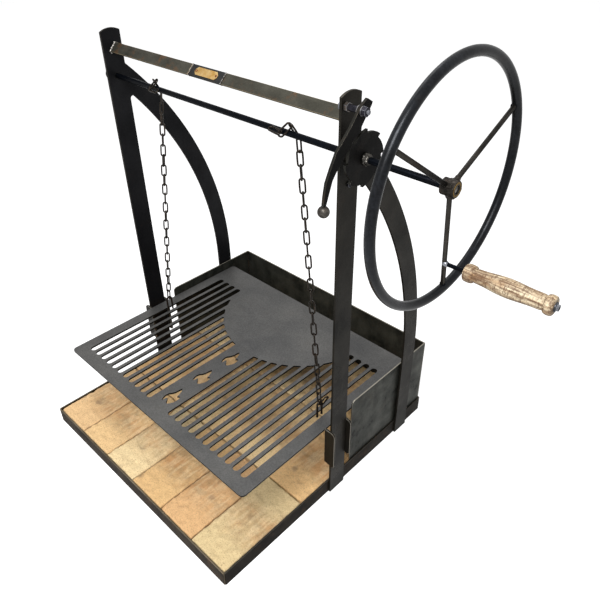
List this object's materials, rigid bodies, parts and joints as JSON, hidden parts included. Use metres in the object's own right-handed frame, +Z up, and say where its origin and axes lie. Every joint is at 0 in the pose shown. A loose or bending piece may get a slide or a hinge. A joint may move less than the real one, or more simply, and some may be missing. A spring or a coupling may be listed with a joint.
{
  "type": "crank grill",
  "caption": "Wood-fire grill on a brick-lined tray: a hand wheel and chains raise a slotted grate between two plate side frames with a three-sided firebox.",
  "frame": {"origin": "centre of the tray's underside, on the ground", "axes": "+X to the hand wheel's side, +Y to the firebox at the rear, +Z up"},
  "size_m": [1.1226, 0.718, 1.0679],
  "materials": {
    "frame_steel": "hot-rolled, dark mill scale, satin",
    "firebrick": "unglazed, matt",
    "firebox_sheet": "hot-rolled sheet, satin",
    "weld_metal": "bare weld, bright",
    "plate_brass": "brushed",
    "fastener_steel": "plain steel",
    "rod_steel": "drawn steel, satin",
    "hub_steel": "lightly rusted",
    "grip_wood": "oiled, turned",
    "grate_steel": "laser-cut plate, satin",
    "chain_steel": "bare steel with light rust"
  },
  "bodies": {
    "frame": {"rail_front": "frame_steel", "rail_rear": "frame_steel", "rail_left": "frame_steel", "rail_right": "frame_steel", "tray_bearers": "frame_steel", "tray_floor": "firebox_sheet", "brick_row_front": "firebrick", "brick_row_middle": "firebrick", "brick_row_rear": "firebrick", "side_frame_left": "frame_steel", "side_frame_right": "frame_steel", "crossbar_left": "frame_steel", "crossbar_right": "frame_steel", "crossbar_splice": "frame_steel", "crossbar_seams": "weld_metal", "crossbar_end_welds": "weld_metal", "badge_plate": "plate_brass", "badge_rivets": "plate_brass", "firebox_left_wall": "firebox_sheet", "firebox_right_wall": "firebox_sheet", "firebox_rear_wall": "firebox_sheet", "firebox_corner_welds": "weld_metal", "shaft_boss_left": "frame_steel", "shaft_boss_right": "frame_steel", "pawl_bolt": "fastener_steel", "pawl_inner_nut": "fastener_steel", "pawl_spacer": "frame_steel", "pawl_washers": "fastener_steel", "pawl_lock_nut": "fastener_steel", "post_bolt": "fastener_steel", "post_bolt_nut": "fastener_steel"},
    "winding": {"winding_shaft": "rod_steel", "shaft_collar": "frame_steel", "ratchet_wheel": "grate_steel", "ratchet_weld": "weld_metal", "wheel_hub": "hub_steel", "wheel_spokes": "rod_steel", "wheel_rim": "rod_steel", "crank_pin": "rod_steel", "grip_washer": "fastener_steel", "grip_nut": "fastener_steel", "chain_wrap_left": "chain_steel", "chain_wrap_right": "chain_steel"},
    "grip": {"grip": "grip_wood"},
    "pawl": {"pawl_lever": "grate_steel", "pawl_ball": "grate_steel"},
    "grate": {"grate_plate": "grate_steel", "ear_front_left": "frame_steel", "ear_front_right": "frame_steel", "ear_rear_left": "frame_steel", "ear_rear_right": "frame_steel", "lifting_eye_left": "chain_steel", "lifting_eye_right": "chain_steel", "chain_left": "chain_steel", "chain_right": "chain_steel"}
  },
  "joints": [
    {"name": "winding_turn", "type": "hinge", "parent": "frame", "child": "winding", "pos_m": [0, -0.0015, 0.868], "axis": [1, 0, 0], "range_deg": [-90, 1720]},
    {"name": "grate_lift", "type": "slide", "parent": "frame", "child": "grate", "axis": [0, 0, 1], "range_m": [-0.0205, 0.3903], "deforming": ["chain_left", "chain_right"]},
    {"name": "pawl_swing", "type": "hinge", "parent": "frame", "child": "pawl", "pos_m": [0.385, -0.015, 0.9505], "axis": [1, 0, 0], "range_deg": [-75, 0]},
    {"name": "grip_spin", "type": "hinge", "parent": "winding", "child": "grip", "pos_m": [0.66246, 0.01444, 0.73127], "axis": [0.9996, 0, 0.0279], "continuous": true}
  ],
  "couplings": [
    {"joint": "grate_lift", "follows": "winding_turn", "m_per_rad": 0.013}
  ]
}
